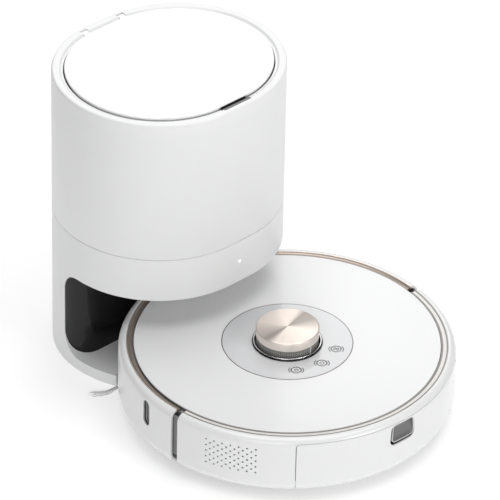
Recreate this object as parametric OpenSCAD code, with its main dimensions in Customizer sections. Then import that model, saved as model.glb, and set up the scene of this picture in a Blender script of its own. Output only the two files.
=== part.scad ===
// Robot vacuum docked in its self-emptying station.
// Origin: centre of the station's footprint on the floor. The robot drives out along -Y.
// The robot's own front, with its bumper, faces +Y; its rear, with the dust bin, faces -Y.

/* [Station] */
// Radius of the tower's round ends
tower_r = 111; // [109:0.5:112]
// Half the distance between the centres of the round ends
tower_half = 14; // [12:0.5:15]
// Height of the tower's shoulder
tower_h = 330; // [320:1:345]
// Height of the seam between the lower and upper housings
seam_z = 165; // [163:1:172]
// Height of the tower's underside above the robot
underside_z = 115.4; // [113:0.2:117]
// Height of the raised rim round the bay
rim_h = 14; // [13:0.5:15]
// Thickness of the housings' walls
wall = 3; // [2.5:0.1:3.2]
// Distance from the tower's outline in to the lid's outline
lid_inset = 12.9; // [12:0.1:13.5]

/* [Robot] */
// Radius of the robot's side wall
robot_r = 175; // [174:0.5:176]
// Distance from the station's centre to the robot's centre
robot_y = 185; // [185:0.5:187]
// Height of the robot's top plate
top_z = 77.5; // [77:0.5:79]
// Height of the robot's underside
belly_z = 9.5; // [9.3:0.1:9.7]
// Radius of the raised laser turret
turret_r = 33; // [32.8:0.1:33.4]
// Height of the turret's top
turret_z = 96.7; // [95:0.1:98]
// Half angle of the dust bin's front panel, seen from the robot's centre
bin_angle = 40; // [39:0.5:42]
// Angle from the rear to the middle of the gap at each end of the bumper
gap_angle = 84; // [83:0.5:86]

/* [Wheels and brushes] */
// Radius of a drive wheel with its tyre
wheel_r = 34; // [33.5:0.5:34]
// Distance from the middle to the inner face of a tyre
wheel_x = 112; // [111:0.5:113]
// Radius that the main brush's vanes sweep
brush_r = 21; // [19:0.5:21.5]
// Length of a side brush tuft
tuft_len = 71; // [60:1:74]

/* [Hidden] */
$fn = 96;

eps = 0.01;          // overlap that keeps unions whole
far = 400;           // longer than anything it cuts
floor_gap = 0.8;     // the base plate's height above the floor, on its feet
plate_z = 3;         // top of the base plate
panel_t = 2;         // thickness of the black cavity panel
spine_half = 121.3;  // half width of the spine behind the bay
spine_corner = 25;   // radius of the spine's two front corners, seen from above
bay_low_r = 26;      // radius of the bay's lower rear corner, seen from the side
bay_top_r = 24;      // radius of the bay's upper rear corner, seen from the side
recess_r = 178.5;    // radius of the bay's floor, a little larger than the robot
rim_z0 = tower_h - 14;
rim_slope = 1.5;     // how far the rim's dish lies below the shoulder
lid_r = tower_r - lid_inset;
lid_top = tower_h + 1;
lid_plate = 2.5;     // thickness of the lid's top
reveal = 1;          // gap all round the lid
notch_half = 18.5;   // half width of the finger recess in the rim
notch_depth = 2.9;   // how far the finger recess runs out from the rim's inner edge
hinge = [25, 104, tower_h - 3];  // place of the right hinge knuckle
hinge_pin_r = 1;
knuckle_w = 8;
port = [62, -63];    // suction port in the base, under the robot
port_r = 10;
duct = [62, 45];     // vertical air duct in the spine
contact = [38, -95]; // right charge contact
contact_r = 3;
caster = [0, 125];   // swivel axis, from the robot's centre
hub = [-92, 101];    // side brush axis, from the robot's centre
brush_y = 46;        // main brush axis, from the robot's centre
brush_z = 22;
arm_pivot = [-45, 30];  // y and z of the wheel arms' pivot
axle_r = 4;
pivot_r = 3;
fit = 0.05;          // radial clearance of a running shaft
skirt_t = 2.5;       // thickness of the robot's side wall
ring_out = 166.6;    // outer radius of the trim ring
bin_top = 72.8;      // height of the dust bin panel's top edge
cover_r = 158.8;     // radius of the top cover
disc_r = 68;         // radius of the control disc
button_ring = 52;    // radius on which the three buttons lie
button_step = 33;    // angle between the buttons
button_r = 5.9;
gap_half = 1.4;      // half angle of the gap at each end of the bumper
sensor_angle = -98.2;
sensor_z = 56;

// Outline of the tower seen from above
module stadium(r) {
    for (s = [-1, 1]) translate([s * tower_half, 0]) circle(r);
    square([2 * tower_half, 2 * r], center = true);
}

// Sweeps a profile of radius and height round the tower's outline
module stadium_sweep() {
    for (s = [-1, 1]) {
        translate([s * tower_half, 0, 0]) rotate([0, 0, -s * 90]) rotate_extrude(angle = 180)
            children();
        scale([1, s, 1]) translate([-tower_half, 0, 0]) rotate([90, 0, 90])
            linear_extrude(2 * tower_half) children();
    }
}

// Outline of the spine behind the bay, moved in by a depth
module spine_plan(depth) {
    r = spine_corner - depth;
    for (s = [-1, 1]) translate([s * (spine_half - spine_corner), spine_corner]) circle(r);
    translate([-(spine_half - spine_corner), depth]) square([2 * (spine_half - spine_corner), far]);
    translate([-(spine_half - depth), spine_corner]) square([2 * (spine_half - depth), far]);
}

// Side view of the bay: depth from front to back and height
module bay_side() {
    h = underside_z - rim_h;
    translate([-far / 2, rim_h]) square([far / 2 + spine_corner - bay_low_r, h]);
    translate([-far / 2, rim_h + bay_low_r])
        square([far / 2 + spine_corner, h - bay_low_r - bay_top_r]);
    translate([-far / 2, underside_z - bay_top_r - eps])
        square([far / 2 + spine_corner - bay_top_r, bay_top_r + eps]);
    translate([spine_corner - bay_low_r, rim_h + bay_low_r]) circle(bay_low_r);
    translate([spine_corner - bay_top_r, underside_z - bay_top_r]) circle(bay_top_r);
}

// The bay's space, with its rear wall at a depth behind the panel's face
module bay(depth) {
    difference() {
        rotate([90, 0, 90]) translate([0, 0, -far / 2]) linear_extrude(far) bay_side();
        linear_extrude(far) spine_plan(depth);
    }
}

// Space that the robot needs on its way out
module robot_way(z0, z1) {
    translate([0, -robot_y, z0]) cylinder(r = recess_r, h = z1 - z0);
    translate([-recess_r, -robot_y - far, z0]) cube([2 * recess_r, far, z1 - z0]);
}

// Channel for the caster through the base plate
module caster_channel() {
    channel_half = 22;
    translate([0, caster[1] - robot_y, 0]) cylinder(r = channel_half, h = plate_z + eps);
    translate([-channel_half, caster[1] - robot_y - far, 0])
        cube([2 * channel_half, far, plate_z + eps]);
}

foot_places = [[0, 0], [70, 65], [-70, 65], [75, -72], [-75, -72]];
foot_r = 8;
screw_places = [[106, 0], [-106, 0], [60, 90], [-60, 90]];
screw_head_r = 3.2;
screw_r = 1.4;

module station_base() color("white") {
    port_top = 8.6;
    difference() {
        union() {
            translate([0, 0, floor_gap]) linear_extrude(plate_z - floor_gap) stadium(tower_r);
            // raised collar round the suction port
            translate([port[0] - 15, port[1] - 15, floor_gap])
                cube([30, 42, port_top - floor_gap]);
            for (s = [-1, 1]) translate([s * contact[0] - 7, contact[1] - 7, floor_gap])
                cube([14, 14, 6.7]);
        }
        translate([0, 0, floor_gap - eps]) caster_channel();
        translate([port[0] - 12, port[1] - 12, 2]) cube([24, 60, 5.6]);
        translate([port[0], port[1], 5]) cylinder(r = port_r, h = 10);
        translate([port[0], port[1], 7.6 - eps]) cylinder(r = port_r + 3, h = 3);
        for (s = [-1, 1]) translate([s * contact[0], contact[1], 1.8])
            cylinder(r = contact_r + fit, h = 20);
        for (p = foot_places) translate([p[0], p[1], 0]) cylinder(r = foot_r, h = 2);
        for (p = screw_places) translate([p[0], p[1], 0]) {
            cylinder(r = screw_head_r, h = 2.2);
            cylinder(r = screw_r + fit, h = 5);
        }
    }
}

module station_feet() color("dimgray") {
    for (p = foot_places) translate([p[0], p[1], 0]) cylinder(r = foot_r, h = 2);
}

module lower_housing() color("whitesmoke") {
    led_z = 140;
    difference() {
        translate([0, 0, plate_z]) linear_extrude(seam_z - plate_z) stadium(tower_r);
        bay(panel_t);
        robot_way(plate_z - eps, rim_h + eps);
        // hollow of the spine and of the tower's lower chamber
        difference() {
            translate([0, 0, plate_z - eps]) linear_extrude(far) intersection() {
                stadium(tower_r - wall);
                spine_plan(panel_t + wall);
            }
            for (s = [-1, 1]) translate([s * screw_places[2][0], screw_places[2][1], 0])
                cylinder(r = 6, h = 22);
        }
        translate([0, 0, underside_z + wall]) linear_extrude(far) stadium(tower_r - wall);
        // air channel from the port to the spine
        translate([port[0] - 12, port[1] - 12, plate_z - eps]) cube([24, 90, 7]);
        // openings of the rear grille and of the power inlet
        translate([-45, tower_r - 20, 45]) cube([90, 40, 60]);
        translate([-12.3, tower_r - 20, 15.7]) cube([24.6, 40, 18.6]);
        translate([0, -tower_r + wall + 1, led_z]) rotate([90, 0, 0]) cylinder(r = 1.35, h = 10);
        for (p = screw_places) translate([p[0], p[1], 0]) cylinder(r = screw_r + fit, h = 12);
    }
}

module cavity_panel() color("black") {
    intersection() {
        bay(panel_t);
        linear_extrude(far) spine_plan(0);
        linear_extrude(far) stadium(tower_r);
    }
}

module upper_housing() color("white") {
    translate([0, 0, seam_z + 0.6]) linear_extrude(rim_z0 - seam_z - 0.6) difference() {
        stadium(tower_r);
        stadium(tower_r - wall);
    }
}

module rim_trim() color("gainsboro") {
    inner = lid_r + reveal;
    ledge = 92;
    difference() {
        stadium_sweep() polygon([
            [ledge, rim_z0], [tower_r, rim_z0], [tower_r, tower_h - 0.8], [tower_r - 0.8, tower_h],
            [tower_r - 2, tower_h - 0.1], [tower_r - 5.5, tower_h - rim_slope],
            [inner + 1, tower_h - rim_slope - 0.2], [inner, tower_h - rim_slope + 0.3],
            [inner, rim_z0 + 2.6], [ledge, rim_z0 + 2.6]
        ]);
        translate([-notch_half, -inner - notch_depth, tower_h - 9])
            cube([2 * notch_half, notch_depth + 2, 20]);
        for (s = [-1, 1]) translate([s * hinge[0], hinge[1], hinge[2]]) {
            translate([-knuckle_w / 2 - 0.5, -12, -3.5]) cube([knuckle_w + 1, 14.6, 20]);
            rotate([0, 90, 0]) cylinder(r = hinge_pin_r, h = 16, center = true);
        }
    }
}

module lid_hinge_pins() color("silver") {
    for (s = [-1, 1]) translate([s * hinge[0], hinge[1], hinge[2]]) rotate([0, 90, 0])
        cylinder(r = hinge_pin_r, h = 16, center = true);
}

module bag_tray() color("gray") {
    difference() {
        translate([0, 0, seam_z + 1]) linear_extrude(3) stadium(tower_r - wall);
        translate([duct[0], duct[1], 0]) cylinder(r = 14, h = far);
        translate([-30, -30, 0]) cylinder(r = 20, h = far);
    }
}

module bag_collar() color("tan") {
    difference() {
        translate([duct[0] - 25, duct[1] - 25, seam_z + 4.2]) cube([50, 50, 3]);
        translate([duct[0], duct[1], 0]) cylinder(r = 12, h = far);
    }
}

module dust_bag() color("beige") {
    corner = 18;
    hull() for (x = [-70, 70], y = [-62, 62], z = [seam_z + 7.4 + corner, tower_h - 45])
        translate([x, y, z]) sphere(r = corner, $fn = 24);
}

module suction_motor() color("dimgray") {
    z0 = underside_z + wall;
    translate([-30, -30, z0]) {
        cylinder(r = 24, h = 5);
        translate([0, 0, 5 - eps]) cylinder(r = 42, h = 24);
        translate([0, 0, 29 - 2 * eps]) cylinder(r = 32, h = 10);
        for (a = [0, 120, 240]) rotate([0, 0, a]) translate([36, 0, 0]) cylinder(r = 4, h = 6);
    }
}

module exhaust_filter() color("khaki") {
    pleats = 14;
    pitch = 6;
    difference() {
        translate([-44, 86, 46]) cube([88, 11, 58]);
        for (i = [0 : pleats - 1]) translate([-43 + i * pitch + 1.5, 85, 49]) cube([3.2, 8, 52]);
    }
}

module rear_grille() color("lightgray") {
    slots = 9;
    intersection() {
        linear_extrude(far) difference() {
            stadium(tower_r);
            stadium(tower_r - 2.6);
        }
        difference() {
            translate([-44.7, 80, 45.3]) cube([89.4, 40, 59.4]);
            for (i = [0 : slots - 1], x = [-41, 1.5]) translate([x, 80, 50 + i * 6])
                cube([39.5, 40, 3]);
        }
    }
}

module air_duct() color("gray") {
    top = seam_z + 4;
    difference() {
        union() {
            translate([duct[0], duct[1], plate_z + 0.2]) cylinder(r = 14, h = top - plate_z - 0.2);
            translate([duct[0] - 14, 5.2, plate_z + 0.2]) cube([28, duct[1] - 5.2, 12]);
        }
        translate([duct[0], duct[1], plate_z + 2]) cylinder(r = 12, h = far);
        translate([duct[0] - 12, 0, plate_z + 2]) cube([24, duct[1], 8.5]);
    }
}

module port_seal() color("black") {
    translate([port[0], port[1], 7.6]) difference() {
        cylinder(r = port_r + 3, h = 1.5);
        translate([0, 0, -1]) cylinder(r = port_r, h = 4);
    }
}

module power_board() color("darkgreen") {
    translate([-62, 30, 30]) {
        cube([100, 1.6, 66]);
        translate([8, 1.6 - eps, 8]) cube([26, 18, 22]);
        translate([44, 1.6 - eps, 10]) cube([16, 12, 16]);
        for (x = [72, 86]) translate([x, 1.6 - eps, 20]) rotate([-90, 0, 0]) cylinder(r = 5, h = 16);
        translate([12, 1.6 - eps, 42]) cube([60, 5, 14]);
    }
}

module power_inlet() color("black") {
    face = tower_r - 0.4;
    difference() {
        translate([-12, face - 18, 16]) cube([24, 18, 18]);
        for (s = [-1, 1]) translate([s * 3.2, face + eps, 25]) rotate([90, 0, 0])
            cylinder(r = 4.2, h = 13);
    }
    for (s = [-1, 1]) translate([s * 4, face - 3, 25]) rotate([90, 0, 0]) cylinder(r = 1.2, h = 11);
}

module status_led() color("white") {
    translate([0, -tower_r + 5, 140]) rotate([90, 0, 0]) cylinder(r = 1.3, h = 5.1);
}

module housing_screws() color("silver") {
    for (p = screw_places) translate([p[0], p[1], 0]) {
        translate([0, 0, floor_gap + 0.2]) difference() {
            cylinder(r = screw_head_r - 0.1, h = 1.2);
            translate([-0.4, -2.2, -eps]) cube([0.8, 4.4, 0.5]);
            translate([-2.2, -0.4, -eps]) cube([4.4, 0.8, 0.5]);
        }
        translate([0, 0, floor_gap + 1]) cylinder(r = screw_r, h = 10);
    }
}

module station_lid() color("white") {
    plate_z0 = lid_top - lid_plate;
    skirt = 4.7;
    difference() {
        union() {
            translate([0, 0, plate_z0]) linear_extrude(lid_plate) stadium(lid_r);
            translate([0, 0, rim_z0 + 5]) linear_extrude(plate_z0 - rim_z0 - 5 + eps) difference() {
                stadium(lid_r - 2);
                stadium(lid_r - 2 - skirt);
            }
            for (s = [-1, 1]) translate([s * hinge[0], hinge[1], hinge[2]]) {
                translate([-knuckle_w / 2, -13, -1.6]) cube([knuckle_w, 13, 3.1 + eps]);
                rotate([0, 90, 0]) cylinder(r = 2.2, h = knuckle_w, center = true);
            }
        }
        for (s = [-1, 1]) translate([s * hinge[0], hinge[1], hinge[2]]) rotate([0, 90, 0])
            cylinder(r = hinge_pin_r + fit, h = 20, center = true);
    }
}

module charge_contact(s) {
    translate([s * contact[0], contact[1], 4]) {
        cylinder(r = contact_r, h = 4);
        translate([0, 0, 4 - eps]) cylinder(r1 = contact_r, r2 = contact_r - 1, h = 0.9);
    }
}
module charge_contact_left() color("gold") charge_contact(-1);
module charge_contact_right() color("gold") charge_contact(1);

// ---- robot ----

// Places children in the station's frame from the robot's centre
module at_robot() translate([0, -robot_y, 0]) children();

// Sweeps a profile between two angles measured from the robot's rear towards +X
module sector(a0, a1) rotate([0, 0, a0 - 90]) rotate_extrude(angle = a1 - a0) children();

// Half section of a solid of revolution with rounded lower and upper edges
module rounded_side(r, z0, z1, low_r, high_r) {
    translate([0, z0]) square([r - low_r, z1 - z0]);
    translate([0, z0 + low_r]) square([r - high_r, z1 - z0 - low_r]);
    translate([0, z0 + low_r]) square([r, z1 - z0 - low_r - high_r]);
    translate([r - low_r, z0 + low_r]) circle(low_r);
    translate([r - high_r, z1 - high_r]) circle(high_r);
}

// Section of the robot's side wall
module skirt_section() {
    difference() {
        rounded_side(robot_r, belly_z + 1, top_z, 16, 8);
        rounded_side(robot_r - skirt_t, belly_z + 1 + skirt_t, top_z - skirt_t,
            16 - skirt_t, 8 - skirt_t);
        square([163, 45]);
        square([ring_out, far]);
    }
    // lower lip, narrower than the top's
    intersection() {
        difference() {
            rounded_side(robot_r, belly_z + 1, top_z, 16, 8);
            rounded_side(robot_r - skirt_t, belly_z + 1 + skirt_t, top_z - skirt_t,
                16 - skirt_t, 8 - skirt_t);
        }
        translate([163, 0]) square([20, 30]);
    }
}

pan_z = 12;          // top of the chassis pan
pan_r = 151.38;      // radius of the pan at its top
cliff_places = [[30, 136], [118, 76]];

module chassis() color("lightgray") at_robot() {
    difference() {
        union() {
            rotate_extrude() polygon([[0, belly_z], [150, belly_z], [pan_r, pan_z], [0, pan_z]]);
            for (s = [-1, 1]) translate([s * 99 - 1.5, -55, pan_z - eps]) cube([3, 25, 30]);
            translate([caster[0], caster[1], pan_z - eps]) cylinder(r = 21, h = 26);
        }
        // wheel wells
        for (s = [-1, 1]) translate([s * 117.5 - 16, -54, 0]) cube([32, 96, far]);
        // main brush mouth
        translate([-84, 22, 0]) cube([168, 48, far]);
        // caster pocket and bore
        translate([caster[0], caster[1], 0]) {
            cylinder(r = 18.5, h = 21);
            cylinder(r = 4 + fit, h = far);
        }
        translate([hub[0], hub[1], 0]) cylinder(r = 13, h = far);
        translate([port[0], port[1] + robot_y, 0]) cylinder(r = 11, h = far);
        for (s = [-1, 1]) {
            translate([s * 99, arm_pivot[0], arm_pivot[1]]) rotate([0, 90, 0])
                cylinder(r = pivot_r + fit, h = 10, center = true);
            translate([s * contact[0] - 8, contact[1] + robot_y - 5, belly_z - 1])
                cube([16, 10, 1.8]);
            for (p = cliff_places) translate([s * p[0] - 7, p[1] - 4, belly_z - 1])
                cube([14, 8, 1.8]);
        }
    }
}

module chassis_wall() color("silver") at_robot() {
    difference() {
        rotate_extrude() polygon([
            [148.6, pan_z], [pan_r, pan_z], [163, 33], [163, 73], [154.5, 73], [154.5, 74],
            [146, 74], [146, 71.5], [160.5, 71.5], [160.5, 33.6]
        ]);
        // dust bin bay
        translate([-90, -180, pan_z - eps]) cube([180, 120, 59.2]);
    }
}

module charge_pads() color("gold") at_robot() {
    for (s = [-1, 1]) translate([s * contact[0] - 8, contact[1] + robot_y - 5, belly_z])
        cube([16, 10, 0.8]);
}

module cliff_sensors() color("black") at_robot() {
    for (s = [-1, 1], p = cliff_places) translate([s * p[0] - 7, p[1] - 4, belly_z + 0.2])
        cube([14, 8, 0.6]);
}

// Staggered holes of the exhaust in the left rear side
module exhaust_holes() {
    columns = 13;
    pitch_z = 7.1;
    for (i = [0 : columns - 1]) {
        rows = i % 2 == 0 ? 5 : 4;
        for (j = [0 : rows - 1])
            rotate([0, 0, -71 + i * 1.46 - 90])
                translate([robot_r - 6, 0, 50.2 + (j - (rows - 1) / 2) * pitch_z])
                rotate([0, 90, 0]) cylinder(r = 0.95, h = 12, $fn = 8);
    }
}

module rear_housing() color("white") at_robot() {
    end = gap_angle - gap_half;
    difference() {
        sector(-end, end) skirt_section();
        sector(-bin_angle - 0.3, bin_angle + 0.3) translate([150, 0]) square([40, bin_top + 0.3]);
        exhaust_holes();
    }
}

module rear_trim() color("wheat") at_robot() {
    end = gap_angle - gap_half;
    sector(-end, end) polygon([
        [159.4, 73.2], [ring_out, 73.2], [ring_out, top_z - 0.3], [ring_out - 0.8, top_z],
        [163.4, top_z - 1], [160.8, top_z - 0.9], [159.8, top_z - 0.1], [159.4, top_z - 0.3]
    ]);
}

// Rounded upright slot at the wall sensor's place
module sensor_slot(r, x0, x1) {
    half = 9.5;
    rotate([0, 0, sensor_angle - 90]) translate([x0, 0, sensor_z]) rotate([0, 90, 0]) {
        for (s = [-1, 1]) translate([s * half, 0, 0]) cylinder(r = r, h = x1 - x0);
        translate([-half, -r, 0]) cube([2 * half, 2 * r, x1 - x0]);
    }
}

module bumper() color("white") at_robot() {
    start = gap_angle + gap_half;
    difference() {
        sector(start, 360 - start) skirt_section();
        sensor_slot(5.5, 160, 180);
    }
}

module bumper_trim() color("tan") at_robot() {
    start = gap_angle + gap_half;
    sector(start, 360 - start) polygon([
        [160.2, 73.5], [ring_out, 73.5], [ring_out, top_z - 0.3], [ring_out - 0.8, top_z],
        [163, top_z - 1.6], [160.2, top_z - 2.2]
    ]);
}

module wall_sensor() color("black") at_robot() {
    sensor_slot(5.5, 169.6, 172.4);
}

module top_cover() color("white") at_robot() {
    rotate_extrude() polygon([
        [62, 71.5], [72, 71.5], [72, 74], [150, 74], [150, 76.1], [cover_r, 76.1],
        [cover_r, top_z - 0.4], [cover_r - 0.4, top_z], [disc_r + 0.4, top_z],
        [disc_r + 0.4, 74], [62, 74]
    ]);
}

// Places children at a button: -1 left, 0 middle, 1 right, seen from the rear
module at_button(i) rotate([0, 0, i * button_step - 90]) translate([button_ring, 0, 0]) children();

module control_disc() color("whitesmoke") at_robot() {
    difference() {
        translate([0, 0, 74]) cylinder(r = disc_r, h = top_z - 74 + 0.1);
        cylinder(r = turret_r + 3.6, h = far);
        for (i = [-1 : 1]) at_button(i) cylinder(r = button_r + 0.3, h = far);
    }
}

module button(i) at_robot() at_button(i) translate([0, 0, 74.9]) cylinder(r = button_r, h = 2.8);
module home_button() color("silver") button(-1);
module power_button() color("silver") button(0);
module spot_button() color("silver") button(1);

module lidar_ring() color("black") at_robot() {
    translate([0, 0, 73]) cylinder(r = turret_r + 3.4, h = 1.5);
    translate([0, 0, 74]) cylinder(r = 3, h = 12);
    translate([0, 0, 74]) difference() {
        cylinder(r = turret_r + 3.4, h = 6);
        translate([0, 0, -eps]) cylinder(r = turret_r + 0.4, h = 7);
    }
}

module lidar_window() color("dimgray", 0.5) at_robot() {
    translate([0, 0, 74.5]) difference() {
        cylinder(r = turret_r - 1, h = 15.5);
        translate([0, 0, -1]) cylinder(r = turret_r - 2.2, h = 20);
    }
}

module lidar_cap() color("wheat") at_robot() {
    rotate_extrude() polygon([
        [0, 93], [turret_r - 5, 93], [turret_r - 5, 90], [turret_r - 0.4, 90], [turret_r, 90.4],
        [turret_r, turret_z - 1.1], [turret_r - 1, turret_z - 0.1], [0, turret_z]
    ]);
    for (a = [35, 155, 275]) rotate([0, 0, a]) translate([turret_r - 3.9, 0, 74.5])
        cylinder(r = 1.4, h = 16);
}

module lidar_rotor() color("dimgray") at_robot() {
    difference() {
        translate([0, 0, 76]) cylinder(r = 25, h = 12.5);
        translate([0, 0, 75]) cylinder(r = 3 + fit, h = 11.5);
        for (y = [-9, 9]) translate([12, y, 82.5]) rotate([0, 90, 0]) cylinder(r = 4, h = 20);
    }
}

module battery() color("navy") at_robot() {
    translate([-38, -58, 12.4]) cube([110, 52, 28]);
}

module main_board() color("darkgreen") at_robot() {
    translate([-60, -56, 56]) cube([120, 66, 1.6]);
    translate([-20, -40, 57.6 - eps]) cube([22, 22, 1.8]);
    translate([20, -30, 57.6 - eps]) cube([14, 14, 1.6]);
    for (x = [-50, 42]) translate([x, -50, 57.6 - eps]) cube([10, 24, 5]);
}

module suction_fan() color("dimgray") at_robot() {
    translate([-69, -32, 12.4]) cylinder(r = 26, h = 30);
    translate([-69, -32, 42.4 - eps]) cylinder(r = 12, h = 4);
    translate([-94, -56, 16]) cube([18, 24, 20]);
}

module brush_box() color("gray") at_robot() {
    difference() {
        translate([-89, 19, 12.2]) cube([178, 54, 36]);
        translate([-82, brush_y, brush_z]) rotate([0, 90, 0]) cylinder(r = brush_r + 2.2, h = 164);
        translate([-82, brush_y - brush_r - 2.2, 0]) cube([164, 2 * brush_r + 4.4, brush_z]);
        translate([-95, brush_y, brush_z]) rotate([0, 90, 0]) cylinder(r = 3 + fit, h = 190);
        translate([-35, 10, 26]) cube([70, 30, 14]);
    }
}

module brush_guard() color("dimgray") at_robot() {
    difference() {
        translate([-91, 17, 7.4]) cube([182, 58, belly_z - 7.4]);
        translate([-83, 23, 0]) cube([166, 46, 20]);
    }
}

module main_brush() color("orangered") at_robot() {
    vanes = 6;
    translate([0, brush_y, brush_z]) rotate([0, 90, 0]) {
        cylinder(r = 8, h = 158, center = true);
        cylinder(r = 3, h = 174, center = true);
        for (i = [0 : vanes - 1]) rotate([0, 0, i * 360 / vanes + 30])
            translate([6, -1, -77]) cube([brush_r - 6, 2, 154]);
    }
}

module side_brush() color("white") at_robot() {
    translate([hub[0], hub[1], 0]) {
        translate([0, 0, 4.4]) cylinder(r = 11, h = 6);
        translate([0, 0, 10]) cylinder(r = 3, h = 24);
        for (i = [0 : 2]) rotate([0, 0, 139.6 + i * 120]) translate([8, -2.2, 4.4])
            cube([14, 4.4, 3]);
    }
}

// One bristle tuft as a chain of rods between given points
module tuft(points) {
    r = 0.8;
    for (i = [0 : len(points) - 2]) {
        d = points[i + 1] - points[i];
        translate(points[i]) rotate([0, acos(d[2] / norm(d)), atan2(d[1], d[0])])
            translate([0, 0, -r / 2]) cylinder(r = r, h = norm(d) + r, $fn = 8);
    }
}

module side_brush_bristles() color("lightgray") at_robot() translate([hub[0], hub[1], 0]) {
    // the tuft that leaves the bay droops to the floor past the rim
    tuft([[-17.2, 14.6, 5.6], [-24, 30, 4.4], [-38, 34, 1.6], [-54, 46, 1.1]]);
    for (a = [259.6, 19.6]) rotate([0, 0, a]) tuft([[22.5, 0, 5.6], [tuft_len, 0, 4.4]]);
}

module side_brush_motor() color("gray") at_robot() {
    difference() {
        translate([hub[0] - 13, hub[1] - 12, 26]) cube([26, 24, 26]);
        translate([hub[0], hub[1], 20]) cylinder(r = 3 + fit, h = 16);
    }
}

// Right wheel arm; the left one is its mirror image
module wheel_arm() at_robot() {
    rise = wheel_r - arm_pivot[1];
    reach = norm([arm_pivot[0], rise]);
    translate([103, arm_pivot[0], arm_pivot[1]]) rotate([0, 90, 0]) cylinder(r = 8, h = 5);
    translate([97, arm_pivot[0], arm_pivot[1]]) rotate([0, 90, 0]) cylinder(r = pivot_r, h = 8);
    translate([103.3, arm_pivot[0], arm_pivot[1]]) rotate([atan2(rise, -arm_pivot[0]), 0, 0])
        translate([0, 0, -6]) cube([4.4, reach, 12]);
    translate([103, 0, wheel_r]) rotate([0, 90, 0]) cylinder(r = 10, h = 5);
    translate([105, 0, wheel_r]) rotate([0, 90, 0]) cylinder(r = axle_r, h = wheel_x - 86);
}
module wheel_arm_left() color("gray") mirror([1, 0, 0]) wheel_arm();
module wheel_arm_right() color("gray") wheel_arm();

module drive_wheel() at_robot() translate([wheel_x + 1, 0, wheel_r]) rotate([0, 90, 0]) {
    difference() {
        cylinder(r = wheel_r - 7, h = 16);
        translate([0, 0, -1]) cylinder(r = axle_r + fit, h = 20);
        translate([0, 0, 12]) difference() {
            cylinder(r = wheel_r - 11, h = 5);
            translate([0, 0, -1]) cylinder(r = 9, h = 7);
        }
    }
}
module drive_wheel_left() color("dimgray") mirror([1, 0, 0]) drive_wheel();
module drive_wheel_right() color("dimgray") drive_wheel();

module tyre() at_robot() translate([wheel_x, 0, wheel_r]) rotate([0, 90, 0]) {
    treads = 24;
    difference() {
        cylinder(r = wheel_r, h = 18);
        translate([0, 0, -1]) cylinder(r = wheel_r - 7, h = 20);
        for (i = [0 : treads - 1]) rotate([0, 0, (i + 0.5) * 360 / treads])
            translate([wheel_r - 1.8, -1.4, -1]) cube([5, 2.8, 20]);
    }
}
module tyre_left() color("black") mirror([1, 0, 0]) tyre();
module tyre_right() color("black") tyre();

caster_wheel_r = 9;
caster_trail = 4;

module caster_fork() color("dimgray") at_robot() translate([caster[0], caster[1], 0]) {
    difference() {
        union() {
            translate([0, 0, 9.7]) cylinder(r = 17, h = 11);
            for (s = [-1, 1]) translate([s * 9.2 - 1.2, -caster_trail - 5, 6]) cube([2.4, 10, 6]);
        }
        translate([-15, -caster_trail, caster_wheel_r]) rotate([0, 90, 0])
            cylinder(r = 2, h = 30);
        translate([-8, -17, 0]) cube([16, 29, 19]);
    }
    translate([0, 0, 20]) cylinder(r = 4, h = 18);
}

module caster_wheel() color("black") at_robot() {
    translate([0, caster[1] - caster_trail, caster_wheel_r]) rotate([0, 90, 0]) {
        cylinder(r = caster_wheel_r, h = 14, center = true);
        cylinder(r = 2 - fit, h = 21, center = true);
    }
}

// Front view of the release button: narrower at the top
module release_outline(gap) {
    hull() for (s = [-1, 1]) {
        translate([s * 8.7, 54]) circle(6 - gap);
        translate([s * 8.2, 65.5]) circle(5 - gap);
    }
}

module dust_bin() color("white") at_robot() {
    difference() {
        union() {
            sector(-bin_angle, bin_angle) intersection() {
                skirt_section();
                square([far, bin_top]);
            }
            intersection() {
                translate([-86, -172, 14]) cube([172, 104, 56]);
                cylinder(r = 163, h = far);
            }
            intersection() {
                translate([-72, -175, 30]) cube([144, 40, 40.8]);
                difference() {
                    cylinder(r = robot_r - 1, h = far);
                    translate([0, 0, -1]) cylinder(r = 161, h = far);
                }
            }
        }
        intersection() {
            translate([-84, -170, 16]) cube([168, 100, 52]);
            cylinder(r = 160, h = far);
        }
        // mouth that faces the main brush
        translate([-35, -75, 26]) cube([70, 10, 14]);
        translate([0, -robot_r + 8, 0]) rotate([90, 0, 0]) linear_extrude(20) release_outline(-0.4);
    }
}

module bin_filter() color("khaki") at_robot() {
    pleats = 14;
    difference() {
        translate([-50, -83, 42]) cube([100, 12.5, 25]);
        for (i = [0 : pleats - 1]) translate([-47 + i * 7, -84, 44.5]) cube([3, 9, 20]);
    }
}

module bin_release() color("silver") at_robot() {
    intersection() {
        translate([0, -robot_r + 5.5, 0]) rotate([90, 0, 0]) linear_extrude(20)
            release_outline(0);
        cylinder(r = robot_r - 0.2, h = far, $fn = 360);
    }
}

station_base();
station_feet();
lower_housing();
cavity_panel();
upper_housing();
rim_trim();
lid_hinge_pins();
bag_tray();
bag_collar();
dust_bag();
suction_motor();
exhaust_filter();
rear_grille();
air_duct();
port_seal();
power_board();
power_inlet();
status_led();
housing_screws();
station_lid();
charge_contact_left();
charge_contact_right();
chassis();
chassis_wall();
rear_housing();
rear_trim();
bumper();
bumper_trim();
wall_sensor();
top_cover();
control_disc();
home_button();
power_button();
spot_button();
lidar_ring();
lidar_window();
lidar_cap();
lidar_rotor();
battery();
main_board();
suction_fan();
brush_box();
brush_guard();
main_brush();
side_brush();
side_brush_bristles();
side_brush_motor();
wheel_arm_left();
wheel_arm_right();
drive_wheel_left();
drive_wheel_right();
tyre_left();
tyre_right();
caster_fork();
caster_wheel();
charge_pads();
cliff_sensors();
dust_bin();
bin_filter();
bin_release();
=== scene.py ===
import math
import random

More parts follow.
